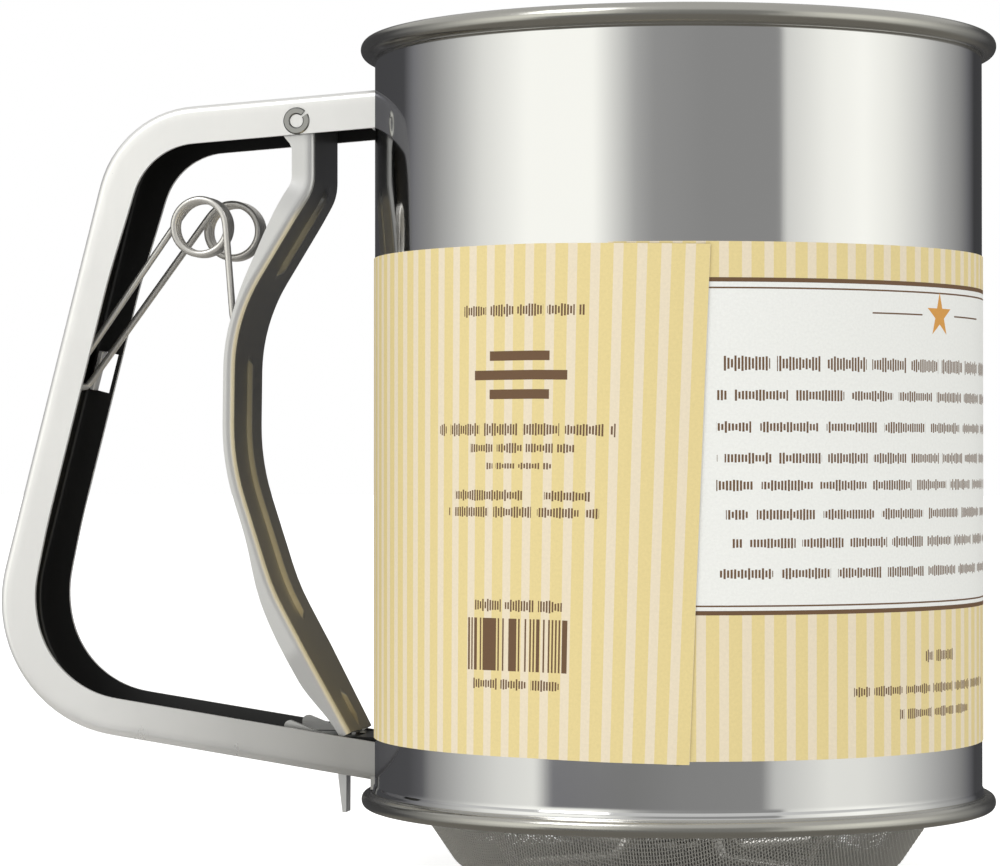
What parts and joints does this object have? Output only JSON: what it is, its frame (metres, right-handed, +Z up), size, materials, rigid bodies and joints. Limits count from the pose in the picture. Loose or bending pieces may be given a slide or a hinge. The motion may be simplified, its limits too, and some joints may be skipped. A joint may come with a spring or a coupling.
{
  "type": "flour sifter",
  "caption": "Hand-squeeze flour sifter: a steel cup with a wire sieve, a channel handle and a sprung trigger that swings an agitator over the sieve.",
  "frame": {"origin": "on the cup's axis, in the plane that the sieve stands on", "axes": "+Z up along the cup's axis; the handle points to -X and lies in the plane Y = 0"},
  "size_m": [0.169, 0.1064, 0.1387],
  "materials": {
    "polished_steel": "mirror-polished stainless sheet",
    "satin_steel": "satin stainless sheet",
    "pin_steel": "turned steel",
    "spring_wire": "drawn steel wire",
    "wire_mesh": "fine woven stainless wire",
    "printed_paper": "matt printed paper"
  },
  "bodies": {
    "cup": {"body_shell": "polished_steel", "base_ring": "polished_steel", "sieve_mesh": "wire_mesh", "label_sleeve": "printed_paper", "crossbar": "satin_steel", "crossbar_rivets": "pin_steel", "axle_pin": "pin_steel", "push_nut": "spring_wire", "top_washer": "satin_steel", "handle_channel": "satin_steel", "roll_pin": "pin_steel", "torsion_spring": "spring_wire"},
    "trigger": {"trigger_lever": "satin_steel"},
    "link": {"drive_link": "satin_steel"},
    "agitator": {"agitator_hub": "pin_steel", "agitator_wire_1": "spring_wire", "agitator_wire_2": "spring_wire", "agitator_wire_3": "spring_wire", "agitator_wire_4": "spring_wire", "crank_plate": "satin_steel", "crank_pin": "pin_steel", "bottom_washer": "satin_steel"}
  },
  "joints": [
    {"name": "trigger_hinge", "type": "hinge", "parent": "cup", "child": "trigger", "pos_m": [-0.0634, 0, 0.1256], "axis": [0, 1, 0], "range_deg": [0, 9], "stiffness_Nm_per_rad": 1.2, "springref_deg": -11.46, "deforming": ["torsion_spring"]},
    {"name": "link_slide", "type": "slide", "parent": "cup", "child": "link", "axis": [-1, 0, 0], "range_m": [0, 0.0166]},
    {"name": "agitator_turn", "type": "hinge", "parent": "cup", "child": "agitator", "pos_m": [0, 0, 0], "axis": [0, 0, 1], "range_deg": [0, 87]}
  ],
  "couplings": [
    {"joint": "link_slide", "follows": "trigger_hinge", "m_per_rad": 0.1049},
    {"joint": "agitator_turn", "follows": "trigger_hinge", "ratio": 9.6348}
  ]
}
